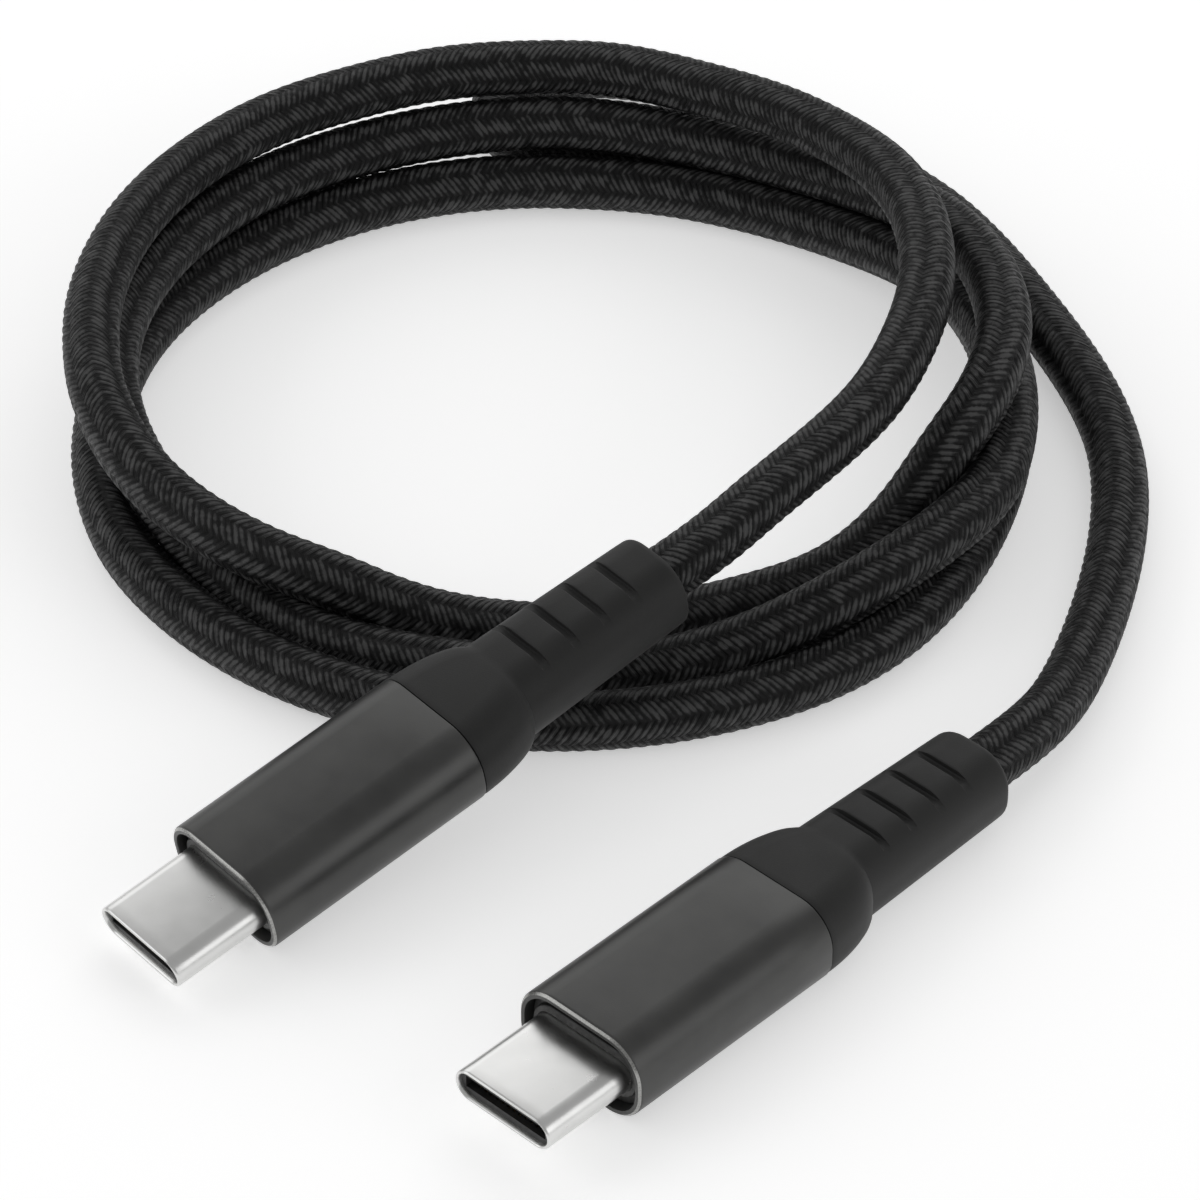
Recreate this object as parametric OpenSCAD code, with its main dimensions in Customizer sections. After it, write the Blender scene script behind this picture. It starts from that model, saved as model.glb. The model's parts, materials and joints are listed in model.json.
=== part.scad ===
// Braided USB-C to USB-C charging cable, loosely coiled, with a plug at each end.
// Millimetres, +Z up, standing on Z = 0. The origin is on the surface, midway between the two plugs.

/* [Cord] */
// Outside diameter of the braided cord
cord_d = 4; // [3.9:0.05:4.05]
// Flat sides round a free run of cord
cord_sides = 10; // [8:1:12]

/* [Coil] */
// Inside radius of the coil
coil_in = 26.4; // [24:0.1:28]
// Outside radius of the coil
coil_out = 32.7; // [31:0.1:32.7]
// Height of the coil, two layers of cord
coil_h = 7.7; // [7:0.1:8]
// Height that is left of the coil where plug A lies across it
saddle_h = 4; // [3:0.1:4.1]

/* [Plug shell] */
// Width of the metal shell, set by the USB-C standard
shell_w = 8.25; // [8.2:0.01:8.3]
// Height of the metal shell, set by the USB-C standard
shell_h = 2.4; // [2.36:0.01:2.44]
// Thickness of the shell's sheet metal
shell_wall = 0.28; // [0.2:0.01:0.3]
// Length of shell that stands out of the sleeve
shell_out = 6.9; // [6.6:0.05:7.2]
// Length of shell inside the plug
shell_in = 2.7; // [2.6:0.05:2.8]

/* [Plug sleeve and boot] */
// Width of the aluminium sleeve
sleeve_w = 10.6; // [10.2:0.1:11]
// Height of the aluminium sleeve
sleeve_h = 6.4; // [6.2:0.1:6.6]
// Length of the aluminium sleeve
sleeve_l = 17.8; // [17.5:0.1:18.5]
// Thickness of the sleeve
sleeve_wall = 0.5; // [0.4:0.05:0.55]
// Length of the boot's shoulder, between the sleeve and the strain relief
shoulder_l = 5.4; // [5:0.1:6]
// Length of the strain relief
relief_l = 14.2; // [14:0.1:15]
// Width of the strain relief where it leaves the shoulder
neck_w = 7.4; // [7.2:0.1:7.8]
// Height of the strain relief where it leaves the shoulder
neck_h = 6.1; // [5.9:0.1:6.2]
// Width of the strain relief at its tip
tip_w = 6.6; // [6.2:0.1:7]
// Height of the strain relief at its tip
tip_h = 5.8; // [5.4:0.1:5.9]

/* [Hidden] */
$fn = 48;
cord_r = cord_d / 2;
eps = 0.01;

// Where each plug's mouth is, which way its back points, and how far its back is tipped up
plug_a_mouth = [-26.8, -5.7, 2.1];
plug_a_turn = 40;
plug_a_tip_up = 10;
plug_b_mouth = [-3.4, -21.7, sleeve_h / 2];
plug_b_turn = 46;
plug_b_tip_up = 0;

// The coil's centre on the surface
coil_at = [-0.6, 47.7, 0];
// Where the coil hands over to each free run, from its centre, with the direction there
lead_a = [-31.5, -5.2, 9.8];
lead_a_turn = 107;
lead_a_rise = 8;
lead_b = [27.3, 21.3, cord_r];
lead_b_turn = -60;

// Free run from plug A up over the coil and along its top at the back, from the coil's centre
tail_a_points = [
    [10.6, -22.5, 10.5], [14.1, -18.9, 11.3], [18.4, -14.2, 12], [22, -9.6, 12.7],
    [24.4, -4.4, 13.2], [26, 1.6, 13.5], [26.3, 7, 13.5], [25.6, 12.8, 13], [23.6, 18.4, 12.3],
    [20.8, 22.8, 11.6], [16.6, 27.3, 10.9], [10.7, 32, 9.8], [4.8, 35.1, 9.2], [-0.4, 36, 8.9],
    [-7.9, 35.3, 8.9], [-15.1, 32.6, 8.9], [-21.9, 28.1, 9], [-28.2, 19.8, 9.3],
    [-31.2, 12.2, 9.6], [-32.4, 5, 9.9], [-32.3, -0.4, 10], [-31.5, -5.2, 9.8]
];
// Free run from plug B to the back, round the hairpin there and along the outside of the coil
tail_b_points = [
    [31.8, -33.2, 3], [34.8, -27.6, 2.3], [37.6, -19, 2], [39.4, -10, 2], [39.6, -1, 2],
    [37.4, 8, 2], [33.8, 16.2, 2], [29.6, 24, 2], [24.6, 31, 2], [19, 37.2, 2], [12.8, 42, 2],
    [6.4, 44.9, 2], [1, 45.2, 2], [-3.4, 43, 2], [-4.6, 39.2, 2], [-2.4, 35.7, 2], [2.4, 34.6, 2],
    [9.6, 33.8, 2], [18, 30.4, 2], [24.7, 25.6, 2], [27.3, 21.3, 2]
];
rings_per_point = 2;
lead_l = 9;
coil_edge_r = 1.8;
saddle_w = 15;
saddle_spare = 4;

// Shell, insulator and contacts
shell_l = shell_out + shell_in;
bore_w = shell_w - 2 * shell_wall;
bore_h = shell_h - 2 * shell_wall;
insulator_start = 0.35;
insulator_l = 8.05;
slot_w = 6.9;
slot_h = 0.86;
slot_end = 6.2;
contact_count = 12;
contact_pitch = 0.5;
contact_w = 0.24;
contact_t = 0.14;
contact_start = 0.8;
contact_end = 9.5;
contact_groove = 0.3;
contact_nose = 0.16;
spring_start = 1;
spring_l = 4.6;
spring_w = 5.2;
spring_t = 0.1;
arm_y = 3.45;
arm_t = 0.2;
arm_h = 0.6;
arm_groove_start = 1.2;
arm_slack = 0.04;
plate_l = 1.4;
plate_t = 0.16;
plate_slot_l = 3;
plate_slot_h = 0.2;
nose_start = 1.4;
nose_l = 1.1;
pad_l = 0.8;

// Board, can, cores and mould
board_start = 8.4;
board_l = 9;
board_w = 7;
board_t = 0.6;
can_start = 9;
can_l = 9.4;
can_w = 8.7;
can_h = 4.4;
can_wall = 0.2;
can_r = 1.8;
can_mouth_w = 5;
can_mouth_h = 3.4;
can_mouth_r = 1.5;
chip_start = 11.2;
chip_y = 0.6;
chip_w = 2;
chip_h = 0.8;
upper_part_start = 10.9;
upper_part_y = -2.5;
upper_part_pitch = 1.1;
lower_part_start = 11.4;
lower_part_y = 1.6;
lower_part_pitch = 1.4;
part_h = 0.5;
core_start = 15.2;
big_core_d = 1.1;
small_core_d = 0.7;
power_y = -0.8;
ground_y = 0.75;
config_y = 0.6;
data_y = [-0.4, -1.25];
mould_w = 7.6;
mould_h = 4.2;
mould_r = 1.8;
mould_start = can_start + can_l;
mould_end = 25.6;
crimp_l = 3;
crimp_d = 5.2;

// Collar, sleeve and boot
inner_w = sleeve_w - 2 * sleeve_wall;
inner_h = sleeve_h - 2 * sleeve_wall;
sleeve_r = 2.8;
inner_r = sleeve_r - sleeve_wall;
rim = 0.3;
collar_start = 7.7;
boot_start = 21.4;
sleeve_end = shell_out + sleeve_l;
neck_x = sleeve_end + shoulder_l;
tip_x = neck_x + relief_l;
slot_count = 4;
slot_pitch = 2.7;
slot_l = 0.65;
slot_depth = 0.55;
slot_first = 2.2;
shoulder_r = 2.7;
tip_r = 2.5;
tip_edge = 0.4;
thin = 0.05;

// ---- Shared shapes ----

// A rectangle with round corners, about the origin
module rounded(w, h, r) {
    if (w - 2 * r > eps) square([w - 2 * r, h], center = true);
    if (h - 2 * r > eps) square([w, h - 2 * r], center = true);
    for (x = [-1, 1], y = [-1, 1])
        translate([x * (w / 2 - r), y * (h / 2 - r)]) circle(r);
}

// A rounded bar along the plug's length: w across, h high, from x to x + l
module bar(x, l, w, h, r) {
    translate([x, 0, 0]) rotate([90, 0, 90]) linear_extrude(l) rounded(w, h, r);
}

// A square-cornered block with its middle on the plug's axis, from x to x + l
module block(x, l, y, w, z, h) {
    translate([x, y - w / 2, z - h / 2]) cube([l, w, h]);
}

// A round rod along the plug's length
module rod(x, l, y, z, d) {
    translate([x, y, z]) rotate([0, 90, 0]) cylinder(h = l, d = d);
}

// A piece drawn about its own axis, put where plug A or plug B lies
module on_plug_a() {
    translate(plug_a_mouth) rotate([0, -plug_a_tip_up, plug_a_turn]) children();
}

module on_plug_b() {
    translate(plug_b_mouth) rotate([0, -plug_b_tip_up, plug_b_turn]) children();
}

// ---- Free runs of cord ----

function unit(v) = v / norm(v);

// The point a share t of the way from point i to the next, on a smooth curve through them all
function between(p, i, t) =
    let (n = len(p) - 1,
         a = p[max(i - 1, 0)], b = p[i], c = p[min(i + 1, n)], d = p[min(i + 2, n)])
    0.5 * (2 * b + (c - a) * t + (2 * a - 5 * b + 4 * c - d) * t * t
        + (3 * b - a - 3 * c + d) * t * t * t);

function curve(p, steps) = concat(
    [for (i = [0:len(p) - 2], k = [0:steps - 1]) between(p, i, k / steps)],
    [p[len(p) - 1]]
);

// A tube along the line q, whose two end faces are square to the directions given
module tube(q, first_way, last_way) {
    n = len(q);
    way = [for (i = [0:n - 1])
        i == 0 ? first_way : i == n - 1 ? last_way : unit(q[i + 1] - q[i - 1])];
    corners = [for (i = [0:n - 1], k = [0:cord_sides - 1])
        let (side = unit(cross(way[i], [0, 0, 1])), up = cross(side, way[i]),
             a = 360 * k / cord_sides)
        q[i] + cord_r * (cos(a) * side + sin(a) * up)];
    walls = [for (i = [0:n - 2], k = [0:cord_sides - 1])
        let (j = (k + 1) % cord_sides)
        [i * cord_sides + k, i * cord_sides + j, (i + 1) * cord_sides + j, (i + 1) * cord_sides + k]];
    first_face = [for (k = [cord_sides - 1:-1:0]) k];
    last_face = [for (k = [0:cord_sides - 1]) (n - 1) * cord_sides + k];
    polyhedron(corners, concat([first_face], walls, [last_face]));
}

function heading(turn, rise) = [cos(rise) * cos(turn), cos(rise) * sin(turn), sin(rise)];

// The middle of a plug's tip, seen from the coil's centre
function tip_of(mouth, turn, rise) = mouth + tip_x * heading(turn, rise) - coil_at;

module cord_tail_a() {
    out = heading(plug_a_turn, plug_a_tip_up);
    from = tip_of(plug_a_mouth, plug_a_turn, plug_a_tip_up);
    color("dimgray") translate(coil_at)
        tube(curve(concat([from], tail_a_points), rings_per_point), out,
            -heading(lead_a_turn, lead_a_rise));
}

module cord_tail_b() {
    out = heading(plug_b_turn, plug_b_tip_up);
    from = tip_of(plug_b_mouth, plug_b_turn, plug_b_tip_up);
    color("dimgray") translate(coil_at)
        tube(curve(concat([from], tail_b_points), rings_per_point), out, heading(lead_b_turn, 0));
}

// The turns as one ring, with the short stretches where the cord leaves it, and a saddle for plug A
module cord_coil() {
    color("dimgray") difference() {
        translate(coil_at) {
            rotate_extrude($fn = 96)
                translate([(coil_in + coil_out) / 2, coil_h / 2])
                    rounded(coil_out - coil_in, coil_h, coil_edge_r);
            translate(lead_a) rotate([0, -lead_a_rise, lead_a_turn])
                translate([-lead_l, 0, 0]) rotate([0, 90, 0]) cylinder(h = lead_l, r = cord_r);
            translate(lead_b) rotate([0, 0, lead_b_turn])
                rotate([0, 90, 0]) cylinder(h = lead_l, r = cord_r);
        }
        translate([plug_a_mouth[0], plug_a_mouth[1], saddle_h]) rotate([0, 0, plug_a_turn])
            translate([0, -saddle_w / 2, 0]) cube([tip_x + saddle_spare, saddle_w, coil_h]);
    }
}

// ---- Mouth of the plug ----

module shell() {
    color("silver") difference() {
        bar(0, shell_l, shell_w, shell_h, shell_h / 2);
        bar(-eps, shell_l + 2 * eps, bore_w, bore_h, bore_h / 2);
    }
}

// Places of the contacts across the plug
function contact_y(i) = (i - (contact_count - 1) / 2) * contact_pitch;

module insulator() {
    contact_z = slot_h / 2 + contact_groove / 2;
    color("black") difference() {
        bar(insulator_start, insulator_l, bore_w, bore_h, bore_h / 2);
        block(0, slot_end, 0, slot_w, 0, slot_h);
        for (i = [0:contact_count - 1], side = [-1, 1])
            block(contact_start, contact_end, contact_y(i), contact_w,
                side * contact_z, contact_groove + eps);
        for (side = [-1, 1]) {
            block(spring_start, spring_l, 0, spring_w, side * bore_h / 2, 2 * spring_t);
            block(arm_groove_start, insulator_l, side * arm_y, arm_t, 0, arm_h);
        }
        block(slot_end - eps, plate_slot_l, 0, board_w - 1, 0, plate_slot_h);
    }
}

// One row of spring contacts: a straight strip with a raised nose near the mouth
module contact_row(side) {
    top_z = slot_h / 2 + contact_groove;
    nose_z = slot_h / 2 - contact_nose;
    pad_z = board_t / 2;
    color("gold") for (i = [0:contact_count - 1]) {
        block(contact_start, contact_end - contact_start, contact_y(i), contact_w,
            side * (top_z - contact_t / 2), contact_t);
        block(nose_start, nose_l, contact_y(i), contact_w,
            side * (top_z + nose_z) / 2, top_z - nose_z);
        block(contact_end - pad_l, pad_l, contact_y(i), contact_w,
            side * (top_z + pad_z) / 2, top_z - pad_z);
    }
}

module upper_contacts() { contact_row(1); }
module lower_contacts() { contact_row(-1); }

module ground_springs() {
    color("lightgray") for (side = [-1, 1])
        block(spring_start, spring_l, 0, spring_w, side * (bore_h / 2 - spring_t / 2), spring_t);
}

// The side latches, joined by the plate between the two rows of contacts
module latch() {
    color("lightgray") {
        for (side = [-1, 1])
            block(arm_groove_start + 0.1, slot_end, side * arm_y, arm_t - arm_slack, 0, arm_h - 0.1);
        block(slot_end + 0.1, plate_l, 0, 2 * arm_y, 0, plate_t);
    }
}

// ---- Inside the sleeve ----

module circuit_board() {
    color("darkgreen") block(board_start + 0.1, board_l, 0, board_w, 0, board_t);
}

module marker_chip() {
    color("black") block(chip_start, chip_w, chip_y, chip_w, (board_t + chip_h) / 2, chip_h);
}

module board_parts() {
    color("tan") {
        for (i = [0:2])
            block(upper_part_start + upper_part_pitch * i, 0.6, upper_part_y, 1,
                (board_t + part_h) / 2, part_h);
        for (i = [0:1])
            block(lower_part_start + lower_part_pitch * i, 0.8, lower_part_y, 1.2,
                -(board_t + part_h) / 2, part_h);
    }
}

module shield_can() {
    color("silver") difference() {
        bar(can_start, can_l, can_w, can_h, can_r);
        bar(can_start + can_wall, can_l - 2 * can_wall, can_w - 2 * can_wall, can_h - 2 * can_wall,
            can_r - can_wall);
        bar(can_start - 1, 2, shell_w, shell_h, shell_h / 2);
        bar(can_start + can_l - 1, 2, can_mouth_w, can_mouth_h, can_mouth_r);
    }
}

// A core of the cord from the board to the cord's end, lying on the board's face
module core_rod(y, side, d) {
    rod(core_start, mould_end - core_start, y, side * (board_t / 2 + d / 2), d);
}

module power_core() { color("firebrick") core_rod(power_y, 1, big_core_d); }
module ground_core() { color("black") core_rod(ground_y, -1, big_core_d); }
module config_core() { color("royalblue") core_rod(config_y, 1, small_core_d); }
module data_cores() { color("seagreen") for (y = data_y) core_rod(y, -1, small_core_d); }

// Hard plastic moulded round the cores, behind the can
module inner_mould() {
    color("ivory") difference() {
        bar(mould_start, mould_end - mould_start, mould_w, mould_h, mould_r);
        core_rod(power_y, 1, big_core_d);
        core_rod(ground_y, -1, big_core_d);
        core_rod(config_y, 1, small_core_d);
        for (y = data_y) core_rod(y, -1, small_core_d);
    }
}

module crimp_ring() {
    color("silver") difference() {
        rod(mould_end, crimp_l, 0, 0, crimp_d);
        rod(mould_end - eps, crimp_l + 2 * eps, 0, 0, cord_d);
    }
}

// ---- Outside of the plug ----

// The black plastic step round the shell, set back in the sleeve's mouth
module front_collar() {
    color("dimgray") difference() {
        bar(collar_start, can_start - collar_start, inner_w, inner_h, inner_r);
        bar(collar_start - 1, 4, shell_w, shell_h, shell_h / 2);
    }
}

module sleeve() {
    color("darkslategray") difference() {
        union() {
            bar(shell_out, sleeve_l, sleeve_w - rim, sleeve_h - rim, sleeve_r - rim / 2);
            bar(shell_out + rim, sleeve_l - rim, sleeve_w, sleeve_h, sleeve_r);
        }
        bar(shell_out - 1, sleeve_l + 2, inner_w, inner_h, inner_r);
    }
}

// The slots that let the strain relief bend, cut from the top and from the bottom
module relief_slots() {
    for (i = [0:slot_count - 1], side = [-1, 1])
        block(neck_x + slot_first + i * slot_pitch, slot_l, 0, neck_w + 1,
            side * (neck_h / 2 + 0.5), 1 + 2 * slot_depth);
}

// A thin slice of the boot, at x
module slice(x, w, h, r) { bar(x, thin, w, h, r, $fn = 32); }

module boot() {
    color("black") difference() {
        union() {
            bar(boot_start, sleeve_end - boot_start, inner_w, inner_h, inner_r);
            hull() {
                slice(sleeve_end, sleeve_w, sleeve_h, sleeve_r);
                slice(sleeve_end + 0.35 * shoulder_l, sleeve_w - 0.4, sleeve_h, sleeve_r);
                slice(sleeve_end + 0.7 * shoulder_l, sleeve_w - 1.4, sleeve_h - 0.1, shoulder_r);
                slice(neck_x, neck_w + 0.6, neck_h, shoulder_r);
            }
            hull() {
                slice(neck_x, neck_w, neck_h, shoulder_r);
                slice(tip_x - 2 * tip_edge, tip_w, tip_h, tip_r);
                slice(tip_x - thin, tip_w - 2 * tip_edge, tip_h - 2 * tip_edge, tip_r - tip_edge);
            }
        }
        relief_slots();
        bar(boot_start - 1, mould_end - boot_start + 1, mould_w, mould_h, mould_r);
        rod(mould_end - eps, crimp_l + eps, 0, 0, crimp_d);
        rod(mould_end, tip_x, 0, 0, cord_d);
    }
}

// The cord where it runs inside the boot
module cord_end() {
    color("dimgray") rod(mould_end, tip_x - mould_end, 0, 0, cord_d);
}

cord_coil();
cord_tail_a();
cord_tail_b();

on_plug_a() shell();  // plug_a_shell
on_plug_a() insulator();  // plug_a_insulator
on_plug_a() upper_contacts();  // plug_a_upper_contacts
on_plug_a() lower_contacts();  // plug_a_lower_contacts
on_plug_a() ground_springs();  // plug_a_ground_springs
on_plug_a() latch();  // plug_a_latch
on_plug_a() circuit_board();  // plug_a_circuit_board
on_plug_a() marker_chip();  // plug_a_marker_chip
on_plug_a() board_parts();  // plug_a_board_parts
on_plug_a() shield_can();  // plug_a_shield_can
on_plug_a() power_core();  // plug_a_power_core
on_plug_a() ground_core();  // plug_a_ground_core
on_plug_a() data_cores();  // plug_a_data_cores
on_plug_a() config_core();  // plug_a_config_core
on_plug_a() inner_mould();  // plug_a_inner_mould
on_plug_a() crimp_ring();  // plug_a_crimp_ring
on_plug_a() front_collar();  // plug_a_front_collar
on_plug_a() sleeve();  // plug_a_sleeve
on_plug_a() boot();  // plug_a_boot
on_plug_a() cord_end();  // plug_a_cord_end

on_plug_b() shell();  // plug_b_shell
on_plug_b() insulator();  // plug_b_insulator
on_plug_b() upper_contacts();  // plug_b_upper_contacts
on_plug_b() lower_contacts();  // plug_b_lower_contacts
on_plug_b() ground_springs();  // plug_b_ground_springs
on_plug_b() latch();  // plug_b_latch
on_plug_b() circuit_board();  // plug_b_circuit_board
on_plug_b() board_parts();  // plug_b_board_parts
on_plug_b() shield_can();  // plug_b_shield_can
on_plug_b() power_core();  // plug_b_power_core
on_plug_b() ground_core();  // plug_b_ground_core
on_plug_b() data_cores();  // plug_b_data_cores
on_plug_b() config_core();  // plug_b_config_core
on_plug_b() inner_mould();  // plug_b_inner_mould
on_plug_b() crimp_ring();  // plug_b_crimp_ring
on_plug_b() front_collar();  // plug_b_front_collar
on_plug_b() sleeve();  // plug_b_sleeve
on_plug_b() boot();  // plug_b_boot
on_plug_b() cord_end();  // plug_b_cord_end
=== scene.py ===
"""A braided USB-C charging cable: the looks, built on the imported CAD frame. Metres, +Z up."""
import json
import math

import bpy
import numpy as np
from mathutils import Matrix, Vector


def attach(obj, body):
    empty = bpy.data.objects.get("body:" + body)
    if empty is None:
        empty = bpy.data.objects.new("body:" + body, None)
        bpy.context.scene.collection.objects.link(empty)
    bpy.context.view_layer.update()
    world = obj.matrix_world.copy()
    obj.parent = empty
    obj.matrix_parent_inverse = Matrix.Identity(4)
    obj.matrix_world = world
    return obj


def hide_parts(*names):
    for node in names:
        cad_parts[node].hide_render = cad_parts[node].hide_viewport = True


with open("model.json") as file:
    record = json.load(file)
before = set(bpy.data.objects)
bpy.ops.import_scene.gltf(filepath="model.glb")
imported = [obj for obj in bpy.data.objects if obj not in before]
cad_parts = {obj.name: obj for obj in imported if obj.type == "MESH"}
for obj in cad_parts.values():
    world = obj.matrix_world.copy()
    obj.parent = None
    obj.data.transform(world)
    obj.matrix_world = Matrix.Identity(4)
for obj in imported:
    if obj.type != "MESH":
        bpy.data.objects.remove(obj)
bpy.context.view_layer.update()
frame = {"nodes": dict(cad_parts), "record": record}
MM = 0.001

# Where things are, as in the CAD model, in millimetres
PLUGS = {
    "plug_a": {"mouth": (-26.8, -5.7, 2.1), "turn": 40, "tip_up": 10},
    "plug_b": {"mouth": (-3.4, -21.7, 3.2), "turn": 46, "tip_up": 0},
}
COIL_AT = np.array([-0.6, 47.7, 0.0])
CORD_D = 4.0
TIP_X = 44.3
# How far inside each boot the braid is modelled
CORD_INSIDE = 1.5

# The camera: how high it looks down from, how far away it is, and half its view at that distance
VIEW_ELEVATION = 39.5
VIEW_DISTANCE = 420
VIEW_HALF = 41.45
VIEW_AT = (2.7, 31.9, 0.0)

# Free run from plug A up over the coil and along its top at the back, from the coil's centre
TAIL_A = [
    (10.6, -22.5, 10.5), (14.1, -18.9, 11.3), (18.4, -14.2, 12), (22, -9.6, 12.7),
    (24.4, -4.4, 13.2), (26, 1.6, 13.5), (26.3, 7, 13.5), (25.6, 12.8, 13), (23.6, 18.4, 12.3),
    (20.8, 22.8, 11.6), (16.6, 27.3, 10.9), (10.7, 32, 9.8), (4.8, 35.1, 9.2), (-0.4, 36, 8.9),
    (-7.9, 35.3, 8.9), (-15.1, 32.6, 8.9), (-21.9, 28.1, 9), (-28.2, 19.8, 9.3),
    (-31.2, 12.2, 9.6), (-32.4, 5, 9.9), (-32.3, -0.4, 10), (-31.5, -5.2, 9.8),
]
# The turns, from where plug A's run comes down to where plug B's run leaves: the angle round the
# coil, in degrees, the distance from its centre, and the height
TURNS = [
    (-879, 31.0, 8.8), (-863, 28.8, 7.0), (-851, 26.4, 5.0), (-839, 23.8, 2.9), (-824, 22.1, 2.0),
    (-800, 21.8, 2.0), (-778, 22.6, 2.0), (-769, 23.5, 2.0), (-758, 25.3, 2.5), (-747, 27.6, 4.6),
    (-738, 29.6, 7.4), (-729, 31.0, 9.4), (-715, 31.9, 10.1), (-690, 32.6, 8.6), (-665, 32.8, 6.0),
    (-645, 33.0, 5.3), (-630, 33.5, 5.3), (-585, 33.2, 5.4), (-540, 31.2, 6.0), (-525, 29.9, 4.8),
    (-510, 28.4, 3.2), (-491, 27.1, 2.0), (-465, 26.2, 2.0), (-435, 26.8, 2.1), (-405, 29.8, 4.4),
    (-380, 31.5, 5.9), (-350, 32.0, 6.0), (-330, 32.0, 4.4), (-312, 31.8, 2.6), (-295, 31.5, 2.0),
    (-270, 31.2, 2.0), (-225, 31.9, 2.0), (-180, 32.0, 2.0), (-135, 31.3, 2.0), (-90, 31.0, 2.0),
    (-45, 31.3, 2.0), (0, 32.0, 2.0), (30, 34.2, 2.0),
]
TURN_STEP = 12
# Free run from plug B to the back, round the hairpin there and along the outside of the coil
TAIL_B = [
    (31.8, -33.2, 3), (34.8, -27.6, 2.3), (37.6, -19, 2), (39.4, -10, 2), (39.6, -1, 2),
    (37.4, 8, 2), (33.8, 16.2, 2), (29.6, 24, 2), (24.6, 31, 2), (19, 37.2, 2), (12.8, 42, 2),
    (6.4, 44.9, 2), (1, 45.2, 2), (-3.4, 43, 2), (-4.6, 39.2, 2), (-2.4, 35.7, 2), (2.4, 34.6, 2),
    (9.6, 33.8, 2), (18, 30.4, 2), (24.7, 25.6, 2), (27.3, 21.3, 2),
]


# ---- The camera ----

def look_at(obj, target):
    way = Vector(target) - obj.location
    obj.rotation_euler = way.to_track_quat("-Z", "Y").to_euler()


def add_camera():
    data = bpy.data.cameras.new("camera")
    data.angle = 2 * math.atan(VIEW_HALF / VIEW_DISTANCE)
    data.clip_start = 0.01
    camera = bpy.data.objects.new("camera", data)
    bpy.context.scene.collection.objects.link(camera)
    rise = math.radians(VIEW_ELEVATION)
    offset = VIEW_DISTANCE * np.array([0, -math.cos(rise), math.sin(rise)])
    camera.location = (np.array(VIEW_AT) + offset) * MM
    look_at(camera, np.array(VIEW_AT) * MM)
    bpy.context.scene.camera = camera


# ---- Material helpers ----

class Paint:
    """A material's node tree, with short calls for the nodes that it needs."""

    def __init__(self, name, **settings):
        self.material = bpy.data.materials.new(name)
        self.material.use_nodes = True
        self.tree = self.material.node_tree
        self.shader = self.tree.nodes["Principled BSDF"]
        for key, value in settings.items():
            self.shader.inputs[key.replace("_", " ")].default_value = value

    def put(self, socket, value):
        if isinstance(value, bpy.types.NodeSocket):
            self.tree.links.new(value, socket)
        else:
            socket.default_value = value

    def math(self, operation, a, b=0.0, c=0.0):
        node = self.tree.nodes.new("ShaderNodeMath")
        node.operation = operation
        for socket, value in zip(node.inputs, (a, b, c)):
            self.put(socket, value)
        return node.outputs[0]

    def place(self, stretch=(1, 1, 1)):
        """The object's own coordinates, in metres, stretched along its axes."""
        coordinates = self.tree.nodes.new("ShaderNodeTexCoord")
        mapping = self.tree.nodes.new("ShaderNodeMapping")
        mapping.inputs["Scale"].default_value = stretch
        self.tree.links.new(coordinates.outputs["Object"], mapping.inputs["Vector"])
        return mapping.outputs[0]

    def noise(self, scale, detail=3.0, where=None, rough=0.5):
        node = self.tree.nodes.new("ShaderNodeTexNoise")
        node.inputs["Scale"].default_value = scale
        node.inputs["Detail"].default_value = detail
        node.inputs["Roughness"].default_value = rough
        self.tree.links.new(where or self.place(), node.inputs["Vector"])
        return node.outputs["Fac"]

    def spread(self, value, low, high, start=0.3, end=0.7):
        """A value from start to end, spread to run from low to high."""
        node = self.tree.nodes.new("ShaderNodeMapRange")
        self.put(node.inputs["Value"], value)
        settings = {"From Min": start, "From Max": end, "To Min": low, "To Max": high}
        for name, number in settings.items():
            node.inputs[name].default_value = number
        return node.outputs[0]

    def ramp(self, value, *stops):
        node = self.tree.nodes.new("ShaderNodeValToRGB")
        ramp = node.color_ramp
        while len(ramp.elements) < len(stops):
            ramp.elements.new(0.5)
        for element, (position, colour) in zip(ramp.elements, stops):
            element.position = position
            element.color = (*colour, 1)
        self.put(node.inputs["Fac"], value)
        return node.outputs["Color"]

    def colour(self, value, *stops):
        self.tree.links.new(self.ramp(value, *stops), self.shader.inputs["Base Color"])

    def rough(self, value, low, high):
        self.tree.links.new(self.spread(value, low, high), self.shader.inputs["Roughness"])

    def blend(self, first, share, second):
        """The first value times its share, plus the second times what is left."""
        rest = self.math("MULTIPLY", second, 1 - share)
        return self.math("MULTIPLY_ADD", first, share, rest)

    def bump(self, height, depth, strength=1.0):
        """Raises the surface by height times depth, in millimetres."""
        node = self.tree.nodes.new("ShaderNodeBump")
        node.inputs["Strength"].default_value = strength
        node.inputs["Distance"].default_value = depth * MM
        self.tree.links.new(height, node.inputs["Height"])
        self.tree.links.new(node.outputs["Normal"], self.shader.inputs["Normal"])


# ---- Materials ----

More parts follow.
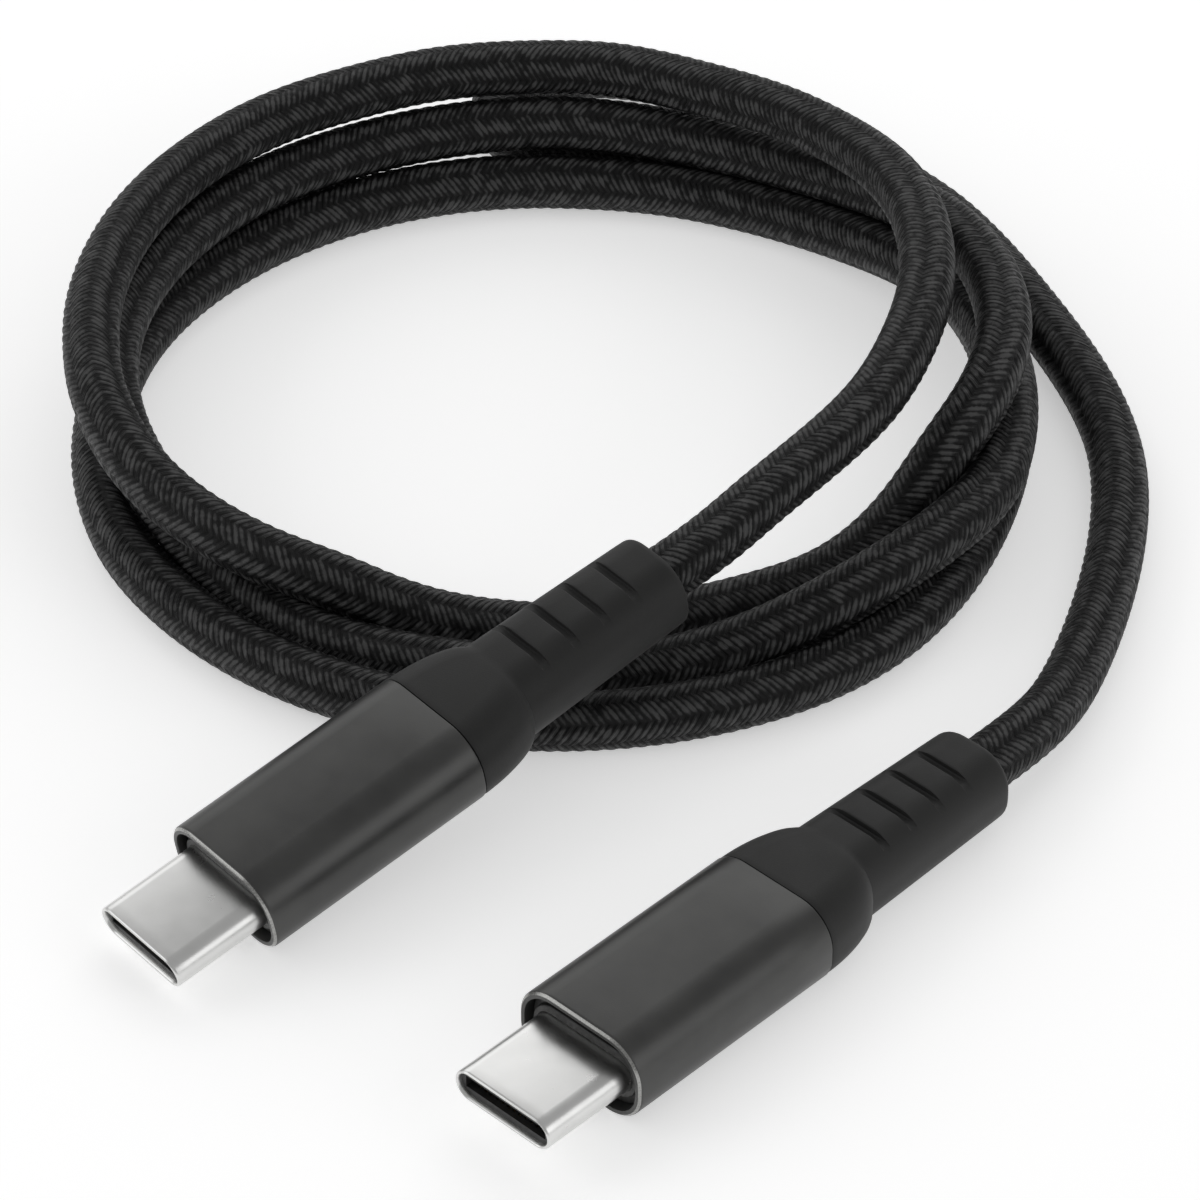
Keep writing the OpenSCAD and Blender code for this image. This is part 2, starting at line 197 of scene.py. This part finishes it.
def braid_paint():
    """Black nylon braid. The map's first number counts columns round the cord, its second stitches
    along it: odd and even columns slant opposite ways, and each stitch is two yarns of fibres."""
    paint = Paint("braid_black", Specular_IOR_Level=0.2)
    uv = paint.tree.nodes.new("ShaderNodeUVMap")
    uv.uv_map = BRAID_MAP
    parts = paint.tree.nodes.new("ShaderNodeSeparateXYZ")
    paint.tree.links.new(uv.outputs[0], parts.inputs[0])
    column, stitch = parts.outputs[0], parts.outputs[1]
    half_turns = paint.math("SUBTRACT", column, 0.5)
    side = paint.math("COSINE", paint.math("MULTIPLY", half_turns, math.pi))
    slant = paint.math("SIGN", side)
    across = paint.math("SUBTRACT", stitch, paint.math("MULTIPLY", column, slant))
    q = paint.math("FRACT", across)
    yarn = paint.math("ABSOLUTE", paint.math("SINE", paint.math("MULTIPLY", q, 2 * math.pi)))
    fibre_wave = paint.math("SINE", paint.math("MULTIPLY", across, 2 * math.pi * FIBRES))
    fibre = paint.math("MULTIPLY_ADD", fibre_wave, 0.5, 0.5)
    fuzz = paint.noise(9000, 2)
    height = paint.math("MULTIPLY_ADD", fibre, 0.22, paint.math("MULTIPLY_ADD", fuzz, 0.3, yarn))
    paint.bump(height, 0.1)
    # Painted highlight and painted shade: lighter on the yarns' crests and in the middle of each
    # column, darker in the gaps between the yarns and between the columns, where shade falls
    painted_highlight_and_shade = paint.math("MULTIPLY_ADD", paint.math("ABSOLUTE", side), 0.45,
                       paint.math("MULTIPLY", yarn, 0.55))
    # The braid's colour: a random tone plus that painted highlight and painted shade
    tone = paint.math("MULTIPLY_ADD", paint.noise(1300, 3), 0.9,
                      paint.math("MULTIPLY", painted_highlight_and_shade, 0.55))
    paint.colour(tone, (0.4, (0.002, 0.002, 0.0021)), (0.8, (0.011, 0.011, 0.0113)),
                 (1.05, (0.075, 0.075, 0.075)))
    paint.rough(paint.noise(2500, 2), 0.4, 0.6)
    return paint.material


def steel_paint():
    """Satin drawn steel, with a fine grain and faint rubbed patches."""
    paint = Paint("shell_steel", Metallic=1.0)
    grain = paint.noise(2600, 4, paint.place((0.35, 0.35, 1)))
    worn = paint.noise(420, 4)
    paint.colour(worn, (0.3, (0.70, 0.70, 0.69)), (0.7, (0.74, 0.74, 0.73)))
    paint.rough(paint.blend(grain, 0.5, worn), 0.26, 0.33)
    paint.bump(grain, 0.004)
    return paint.material


def anodised_paint():
    """Dark grey anodised aluminium: a fine blasted grain under a hard satin skin."""
    paint = Paint("sleeve_aluminium", Metallic=0.85, Specular_IOR_Level=0.5)
    grain = paint.noise(14000, 2)
    cloud = paint.noise(260, 3)
    paint.colour(cloud, (0.3, (0.07, 0.07, 0.069)), (0.7, (0.088, 0.088, 0.086)))
    paint.rough(paint.blend(grain, 0.4, cloud), 0.33, 0.43)
    paint.bump(grain, 0.005)
    return paint.material


def bare_edge_paint():
    """The cut edge of the sleeve's mouth, paler where the anodising was machined away."""
    paint = Paint("sleeve_edge", Metallic=1.0)
    marks = paint.noise(7000, 3)
    paint.colour(marks, (0.3, (0.26, 0.26, 0.25)), (0.7, (0.4, 0.4, 0.39)))
    paint.rough(marks, 0.22, 0.34)
    return paint.material


def rubber_paint():
    """Matte black rubber with a fine moulded texture."""
    paint = Paint("boot_rubber", Specular_IOR_Level=0.35, Sheen_Weight=0.06)
    texture = paint.noise(11000, 3)
    cloud = paint.noise(350, 4)
    paint.colour(cloud, (0.3, (0.012, 0.012, 0.0116)), (0.7, (0.0165, 0.0165, 0.016)))
    paint.rough(paint.blend(texture, 0.4, cloud), 0.52, 0.68)
    paint.bump(texture, 0.008)
    return paint.material


def plain_paint(name, low, high, metallic=0.0, rough=(0.4, 0.6), scale=3000, depth=0.004):
    """A moulded, plated or pressed material: two tones, a varying gloss and a fine grain."""
    paint = Paint(name, Metallic=metallic)
    grain = paint.noise(scale, 3)
    cloud = paint.noise(scale / 8, 4)
    paint.colour(cloud, (0.3, low), (0.7, high))
    paint.rough(grain, *rough)
    paint.bump(grain, depth)
    return paint.material


def make_paints():
    return {
        "braid_black": braid_paint(),
        "shell_steel": steel_paint(),
        "sleeve_aluminium": anodised_paint(),
        "boot_rubber": rubber_paint(),
        "collar_plastic": plain_paint("collar_plastic", (0.028, 0.028, 0.027), (0.04, 0.04, 0.039)),
        "insulator_plastic": plain_paint("insulator_plastic", (0.012,) * 3, (0.02,) * 3),
        "contact_gold": plain_paint("contact_gold", (0.75, 0.52, 0.2), (0.88, 0.66, 0.3), 1,
                                    (0.2, 0.35)),
        "spring_steel": plain_paint("spring_steel", (0.5,) * 3, (0.6,) * 3, 1, (0.25, 0.4)),
        "can_steel": plain_paint("can_steel", (0.42,) * 3, (0.55,) * 3, 1, (0.3, 0.5)),
        "board_green": plain_paint("board_green", (0.015, 0.12, 0.05), (0.02, 0.16, 0.07)),
        "chip_black": plain_paint("chip_black", (0.015,) * 3, (0.025,) * 3, 0, (0.5, 0.7)),
        "ceramic_tan": plain_paint("ceramic_tan", (0.38, 0.27, 0.16), (0.5, 0.37, 0.22)),
        "core_red": plain_paint("core_red", (0.42, 0.02, 0.02), (0.55, 0.03, 0.03)),
        "core_black": plain_paint("core_black", (0.012,) * 3, (0.02,) * 3),
        "core_green": plain_paint("core_green", (0.02, 0.26, 0.08), (0.03, 0.34, 0.11)),
        "core_blue": plain_paint("core_blue", (0.03, 0.09, 0.42), (0.05, 0.13, 0.55)),
        "mould_ivory": plain_paint("mould_ivory", (0.62, 0.58, 0.48), (0.72, 0.68, 0.58)),
    }


def paint_cad_nodes(paints):
    """Gives each CAD node the material of its slot in the record."""
    for part in frame["record"]["subparts"]:
        node = frame["nodes"][part["node"]]
        node.data.materials.clear()
        node.data.materials.append(paints[part["material_slot"]])


# ---- Mesh helpers ----

def grid_mesh(name, rings, loop=False, capped=True, uv=None, paint=None):
    """A closed skin through rings of points, all with the same count. With loop, the last ring
    meets the first, as in a tube with a wall; otherwise the ends are capped."""
    rings = np.asarray(rings, float)
    n, m = rings.shape[:2]
    mesh = bpy.data.meshes.new(name)
    mesh.vertices.add(n * m)
    mesh.vertices.foreach_set("co", (rings.reshape(-1, 3) * MM).ravel())
    last = n if loop else n - 1
    i, k = np.meshgrid(np.arange(last), np.arange(m), indexing="ij")
    j, after = (i + 1) % n, (k + 1) % m
    quads = np.stack([i * m + k, i * m + after, j * m + after, j * m + k], -1).reshape(-1, 4)
    corners = [quads.ravel()]
    totals = [np.full(len(quads), 4)]
    if capped and not loop:
        corners += [np.arange(m)[::-1], (n - 1) * m + np.arange(m)]
        totals += [[m], [m]]
    corners, totals = np.concatenate(corners), np.concatenate(totals)
    mesh.loops.add(len(corners))
    mesh.loops.foreach_set("vertex_index", corners)
    mesh.polygons.add(len(totals))
    mesh.polygons.foreach_set("loop_start", np.cumsum(totals) - totals)
    mesh.polygons.foreach_set("use_smooth", np.ones(len(totals), bool))
    if uv is not None:
        flat = np.zeros((len(corners), 2))
        flat[:4 * len(quads)] = uv(np.stack([k, k + 1, k + 1, k], -1).reshape(-1),
                                   np.stack([i, i, i + 1, i + 1], -1).reshape(-1))
        mesh.uv_layers.new(name=BRAID_MAP).data.foreach_set("uv", flat.ravel())
    mesh.update(calc_edges=True)
    mesh.validate()
    obj = bpy.data.objects.new(name, mesh)
    bpy.context.scene.collection.objects.link(obj)
    if paint:
        mesh.materials.append(paint)
    return obj


# ---- The cord ----

BRAID_MAP = "Braid"
COLUMNS = 8
STITCH = 1.0
FIBRES = 7
RING_STEP = 0.18
SIDES_PER_COLUMN = 6
WEAVE_DEPTH = 0.075
STITCH_DEPTH = 0.17
# The braid's crests stand this far past the cord's nominal radius
CREST = 0.05
# Pressing the turns apart: points of one strand this near in order are left alone
SETTLE_REACH = 12
SETTLE_ROUNDS = 60


def along(turn, rise):
    """The way that a plug's back points."""
    t, r = math.radians(turn), math.radians(rise)
    return np.array([math.cos(r) * math.cos(t), math.cos(r) * math.sin(t), math.sin(r)])


def plug_tip(name, x=TIP_X):
    plug = PLUGS[name]
    return np.array(plug["mouth"]) + x * along(plug["turn"], plug["tip_up"])


def spline(knots, values, at):
    """A natural cubic spline through values at knots, read at the places given."""
    knots, values = np.asarray(knots, float), np.asarray(values, float)
    n = len(knots)
    gap = np.diff(knots)
    matrix, right = np.eye(n), np.zeros_like(values)
    slope = (np.diff(values, axis=0).T / gap).T
    for i in range(1, n - 1):
        matrix[i, i - 1:i + 2] = gap[i - 1], 2 * (gap[i - 1] + gap[i]), gap[i]
        right[i] = 6 * (slope[i] - slope[i - 1])
    second = np.linalg.solve(matrix, right)
    i = np.clip(np.searchsorted(knots, at) - 1, 0, n - 2)
    shape = (-1,) + (1,) * (values.ndim - 1)
    h = gap[i].reshape(shape)
    a = ((knots[i + 1] - at).reshape(shape)) / h
    b = 1 - a
    curve = (a ** 3 - a) * second[i] + (b ** 3 - b) * second[i + 1]
    return a * values[i] + b * values[i + 1] + curve * h * h / 6


def lengths(points):
    return np.concatenate([[0], np.cumsum(np.linalg.norm(np.diff(points, axis=0), axis=1))])


def spaced(points, step):
    """The same line with its points evenly spaced."""
    s = lengths(points)
    count = max(int(round(s[-1] / step)), 2)
    at = np.linspace(0, s[-1], count + 1)
    return np.stack([np.interp(at, s, points[:, k]) for k in range(3)], 1)


def smooth_line(points, step):
    """One smooth curve through the points, evenly spaced."""
    points = np.asarray(points, float)
    knots = np.concatenate([[0], np.cumsum(np.linalg.norm(np.diff(points, axis=0), axis=1) ** 0.5)])
    fine = spline(knots, points, np.linspace(0, knots[-1], 12 * len(points)))
    return spaced(fine, step)


def coil_points():
    angles, radii, heights = np.array(TURNS, float).T
    at = np.arange(angles[0], angles[-1], TURN_STEP)
    r, z = spline(angles, radii, at), spline(angles, heights, at)
    way = np.radians(at)
    return np.stack([r * np.cos(way), r * np.sin(way), z], 1)


def settle(line):
    """Presses the cord's turns apart to one diameter, and up to the surface, a little at a time."""
    reach = SETTLE_REACH
    rest = line.copy()
    moved = np.zeros_like(line)
    index = np.arange(len(line))
    apart = np.abs(index[:, None] - index[None, :]) > reach
    held = np.ones(len(line))
    held[:reach] = held[-reach:] = 0
    for _ in range(SETTLE_ROUNDS):
        now = rest + moved
        gap = now[:, None, :] - now[None, :, :]
        distance = np.linalg.norm(gap, axis=2) + 1e-9
        short = np.where(apart & (distance < CORD_D), CORD_D - distance, 0)
        neighbours = np.maximum((short > 0).sum(1), 1)[:, None]
        push = (gap * (short / distance)[:, :, None]).sum(1) / neighbours
        moved += 0.5 * push * held[:, None]
        moved[:, 2] += np.maximum(CORD_D / 2 - (rest + moved)[:, 2], 0)
        for _ in range(2):
            moved[1:-1] += 0.25 * (moved[:-2] + moved[2:] - 2 * moved[1:-1])
        moved *= held[:, None]
    return rest + moved


def cord_line():
    """The cord's centreline from plug A to plug B."""
    start = [plug_tip("plug_a", TIP_X - CORD_INSIDE), plug_tip("plug_a")]
    end = [plug_tip("plug_b"), plug_tip("plug_b", TIP_X - CORD_INSIDE)]
    middle = np.concatenate([np.array(TAIL_A, float), coil_points(), np.array(TAIL_B, float)[::-1]])
    line = smooth_line(np.concatenate([start, middle + COIL_AT, end]), 1.0)
    return smooth_line(settle(line), RING_STEP)


def side_frames(line):
    """A pair of directions across the line at each point, carried along without twist."""
    way = np.gradient(line, axis=0)
    way /= np.linalg.norm(way, axis=1)[:, None]
    side = np.zeros_like(way)
    side[0] = np.cross(way[0], [0, 0, 1])
    side[0] /= np.linalg.norm(side[0])
    for i in range(1, len(line)):
        v = side[i - 1] - way[i] * np.dot(side[i - 1], way[i])
        side[i] = v / np.linalg.norm(v)
    return side, np.cross(side, way)


def braid_radius(column, stitch):
    """How far the braid stands from the cord's middle: two sets of flat strands that pass over
    and under each other, two at a time, so that their floats line up in columns."""
    lift = np.cos(np.pi * (column - 0.5))

    def strand(phase):
        q = phase - np.floor(phase)
        return np.sqrt(np.clip(1 - (2 * q - 1) ** 2, 0, 1))

    one = WEAVE_DEPTH * lift + STITCH_DEPTH * strand(stitch - column)
    other = -WEAVE_DEPTH * lift + STITCH_DEPTH * strand(stitch + column)
    return CORD_D / 2 - STITCH_DEPTH - WEAVE_DEPTH + CREST + np.maximum(one, other)


def make_cord(paints):
    line = cord_line()
    sides = COLUMNS * SIDES_PER_COLUMN
    side, up = side_frames(line)
    column = np.arange(sides) / SIDES_PER_COLUMN
    stitch = lengths(line) / STITCH
    radius = braid_radius(column[None, :], stitch[:, None])
    turn = 2 * np.pi * np.arange(sides) / sides
    across = (np.cos(turn)[None, :, None] * side[:, None, :]
              + np.sin(turn)[None, :, None] * up[:, None, :])
    rings = line[:, None, :] + radius[:, :, None] * across

    def braid_uv(k, i):
        return np.stack([k / SIDES_PER_COLUMN, stitch[i]], -1)

    cord = grid_mesh("cord", rings, uv=braid_uv, paint=paints["braid_black"])
    path = spaced(line, 2.0) * MM
    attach(cord, "root")
    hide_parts("cord_coil", "cord_tail_a", "cord_tail_b")
    return cord, path, lengths(line)[-1] * MM


# ---- The plugs ----

CORNER_STEPS = 10


def outline(w, h, r):
    """A rounded rectangle across the plug, as points (y, z)."""
    points = []
    for cy, cz, first in ((1, 1, 0), (-1, 1, 90), (-1, -1, 180), (1, -1, 270)):
        for a in np.radians(np.linspace(first, first + 90, CORNER_STEPS)):
            points.append((cy * (w / 2 - r) + r * math.cos(a), cz * (h / 2 - r) + r * math.sin(a)))
    return np.array(points)


def ring(x, w, h, r):
    yz = outline(w, h, r)
    return np.concatenate([np.full((len(yz), 1), x), yz], 1)


def offset_rings(size, profile):
    """Rings of one rounded outline, each at (x, grown by)."""
    w, h, r = size
    return [ring(x, w + 2 * g, h + 2 * g, max(r + g, 0.05)) for x, g in profile]


def placed(plug, rings):
    """Rings drawn about the plug's own axis, put where the plug lies."""
    way = along(PLUGS[plug]["turn"], PLUGS[plug]["tip_up"])
    left = np.cross([0, 0, 1], way)
    left /= np.linalg.norm(left)
    up = np.cross(way, left)
    rings = np.asarray(rings)
    return (np.array(PLUGS[plug]["mouth"]) + rings[..., :1] * way + rings[..., 1:2] * left
            + rings[..., 2:] * up)


SHELL = (8.25, 2.4, 1.2)
SHELL_END = 9.6
SHELL_WALL = 0.28
SLEEVE = (10.6, 6.4, 2.8)
SLEEVE_START = 6.9
SLEEVE_END = 24.7
SLEEVE_WALL = 0.5
COLLAR_START = 7.7
COLLAR_END = 9.0
COLLAR_STEP = (9.0, 3.7, 1.8)
COLLAR_STEP_START = 7.36
NECK_X = 30.1
NECK = (7.4, 6.1, 2.7)
TIP = (6.6, 5.8, 2.5)
BORE = (4.1, 4.1, 2.05)
BOOT_START = 21.4
SHOULDER = (10.5, 6.32, 2.76)
# Radius of the round edge at the strain relief's tip
TIP_EDGE = 0.55
SLOT_EDGE = 0.06
SLOT_FIRST = 2.2
SLOT_PITCH = 2.7
SLOT_WIDTH = 0.65
SLOT_DEPTH = 0.55
SLOT_COUNT = 4


def shell_rings():
    wall = SHELL_WALL
    return offset_rings(SHELL, [
        (0.05, -0.05), (0.1, -0.015), (0.2, 0), (1, 0), (SLEEVE_START + 1, 0), (SHELL_END, 0),
        (SHELL_END, -wall), (1, -wall), (0.3, -wall), (0.12, -wall + 0.03), (0.03, -wall + 0.08),
        (0, -wall + 0.13), (0, -0.11),
    ])


def collar_rings():
    """The stepped plastic ring round the shell, set back in the sleeve's mouth."""
    w, h, r = SLEEVE
    inner = (w - 2 * SLEEVE_WALL, h - 2 * SLEEVE_WALL, r - SLEEVE_WALL)
    step, bore = COLLAR_STEP, (8.27, 2.42, 1.21)
    return [
        ring(COLLAR_END, *inner), ring(7.9, *inner),
        ring(7.74, inner[0] - 0.1, inner[1] - 0.1, inner[2] - 0.05),
        ring(COLLAR_START, inner[0] - 0.25, inner[1] - 0.25, inner[2] - 0.12),
        ring(COLLAR_START, step[0] + 0.06, step[1] + 0.06, step[2]), ring(7.66, *step),
        ring(7.42, *step),
        ring(COLLAR_STEP_START, step[0] - 0.12, step[1] - 0.12, step[2] - 0.06),
        ring(COLLAR_STEP_START, 8.4, 2.55, 1.27), ring(7.42, *bore), ring(COLLAR_END, *bore),
    ]


def sleeve_rings():
    wall = SLEEVE_WALL
    return offset_rings(SLEEVE, [
        (SLEEVE_START, -wall + 0.08), (SLEEVE_START, -0.2), (SLEEVE_START + 0.15, -0.04),
        (SLEEVE_START + 0.22, -0.01), (SLEEVE_START + 0.36, 0), (SLEEVE_START + 4, 0),
        (SLEEVE_END - 4, 0), (SLEEVE_END - 0.14, 0), (SLEEVE_END - 0.05, -0.03),
        (SLEEVE_END, -0.1), (SLEEVE_END, -wall), (SLEEVE_START + 1, -wall),
        (SLEEVE_START + 0.1, -wall), (SLEEVE_START + 0.02, -wall + 0.03),
    ])


# Which band of the sleeve's rings is the chamfer at its mouth
SLEEVE_EDGE_BAND = 1


def mixed(a, b, t):
    return tuple(p + (q - p) * t for p, q in zip(a, b))


def boot_size(x):
    """Width, height and corner radius of the boot at x along the plug."""
    if x < NECK_X:
        t = (x - SLEEVE_END) / (NECK_X - SLEEVE_END)
        return mixed(SHOULDER, NECK, 1 - (1 - t * t) ** 0.6)
    return mixed(NECK, TIP, (x - NECK_X) / (TIP_X - NECK_X))


def boot_rings():
    """The shoulder and the strain relief, with slots cut from above and below, and the bore."""
    w, h, r = SLEEVE
    inner = (w - 2 * SLEEVE_WALL - 0.02, h - 2 * SLEEVE_WALL - 0.02, r - SLEEVE_WALL)
    rings = [ring(BOOT_START, *inner), ring(SLEEVE_END - 0.02, *inner),
             ring(SLEEVE_END + 0.02, 10.1, 5.95, 2.6), ring(SLEEVE_END + 0.08, 10.42, 6.24, 2.72)]
    rings += [ring(x, *boot_size(x)) for x in np.linspace(SLEEVE_END + 0.25, NECK_X + 1, 22)]
    edge = SLOT_EDGE
    for i in range(SLOT_COUNT):
        x = NECK_X + SLOT_FIRST + i * SLOT_PITCH
        cuts = [(x - 2 * edge, 0), (x - edge, 0.02), (x, 0.1), (x + 0.02, SLOT_DEPTH - 0.08),
                (x + 0.1, SLOT_DEPTH)]
        cuts += [(2 * x + SLOT_WIDTH - at, depth) for at, depth in reversed(cuts)]
        for at, depth in cuts:
            section = ring(at, *boot_size(at))
            top = NECK[1] / 2 - depth if depth else NECK[1]
            low = min(top, boot_size(at)[1] / 2 - 0.6 * depth)
            section[:, 2] = np.clip(section[:, 2], -low, low)
            rings.append(section)
        rings.append(ring(x + SLOT_WIDTH + 1, *boot_size(x + SLOT_WIDTH + 1)))
    w, h, r = boot_size(TIP_X)
    rings += [ring(TIP_X - 1.1, *boot_size(TIP_X - 1.1))]
    for a in np.radians(np.linspace(0, 90, 7)):
        g = TIP_EDGE * (1 - math.cos(a))
        rings.append(ring(TIP_X - TIP_EDGE * (1 - math.sin(a)), w - 2 * g, h - 2 * g, r - g))
    rings += [ring(TIP_X, 4.5, 4.5, 2.25), ring(TIP_X - 0.06, 4.25, 4.25, 2.12),
              ring(TIP_X - 0.2, *BORE), ring(BOOT_START + 7, *BORE), ring(BOOT_START, *BORE)]
    return rings


def make_plug(plug, paints):
    """The pieces of a plug that show: its steel shell, collar, sleeve and boot."""
    made = []
    for part, rings, slot in (
        ("shell", shell_rings(), "shell_steel"),
        ("front_collar", collar_rings(), "collar_plastic"),
        ("sleeve", sleeve_rings(), "sleeve_aluminium"),
        ("boot", boot_rings(), "boot_rubber"),
    ):
        piece = grid_mesh(f"{plug}_{part}_shown", placed(plug, rings), loop=True,
                          paint=paints[slot])
        piece.data.set_sharp_from_angle(angle=math.radians(32))
        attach(piece, "root")
        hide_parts(f"{plug}_{part}")
        made.append(piece)
    return made


def brighten_edge(sleeve, edge):
    """Gives the chamfer at the sleeve's mouth the bare metal."""
    sleeve.data.materials.append(edge)
    count = 4 * CORNER_STEPS
    for face in sleeve.data.polygons[SLEEVE_EDGE_BAND * count:(SLEEVE_EDGE_BAND + 1) * count]:
        face.material_index = 1


# ---- The studio ----

def add_floor():
    bpy.ops.mesh.primitive_plane_add(size=6)
    floor = bpy.context.object
    floor.name = "floor"
    paint = Paint("floor_paint", Roughness=0.9, Specular_IOR_Level=0.1, Emission_Strength=0.46)
    paint.shader.inputs["Base Color"].default_value = (0.9, 0.9, 0.9, 1)
    paint.shader.inputs["Emission Color"].default_value = (1, 1, 1, 1)
    floor.data.materials.append(paint.material)


def add_light(name, at, size, power, target=(0, 0.03, 0)):
    data = bpy.data.lights.new(name, "AREA")
    data.shape = "RECTANGLE"
    data.size, data.size_y = size
    data.energy = power
    light = bpy.data.objects.new(name, data)
    bpy.context.scene.collection.objects.link(light)
    light.location = at
    light.visible_camera = False
    look_at(light, target)


def add_studio():
    scene = bpy.context.scene
    world = bpy.data.worlds.new("studio")
    world.use_nodes = True
    world.node_tree.nodes["Background"].inputs["Color"].default_value = (1, 1, 1, 1)
    world.node_tree.nodes["Background"].inputs["Strength"].default_value = 0.4
    scene.world = world
    scene.view_settings.view_transform = "Standard"
    add_light("back_panel", (0.0, 0.9, 0.55), (1.4, 0.7), 2.8)
    add_light("right_panel", (0.75, -0.35, 0.35), (0.6, 0.5), 1.0)
    add_light("left_panel", (-0.8, 0.1, 0.45), (0.6, 0.6), 1.2)


def main():
    add_camera()
    paints = make_paints()
    cord, path, length = make_cord(paints)
    shown = {plug: make_plug(plug, paints) for plug in PLUGS}
    edge = bare_edge_paint()
    for pieces in shown.values():
        brighten_edge(pieces[2], edge)
    paint_cad_nodes(paints)
    add_floor()
    add_studio()


main()
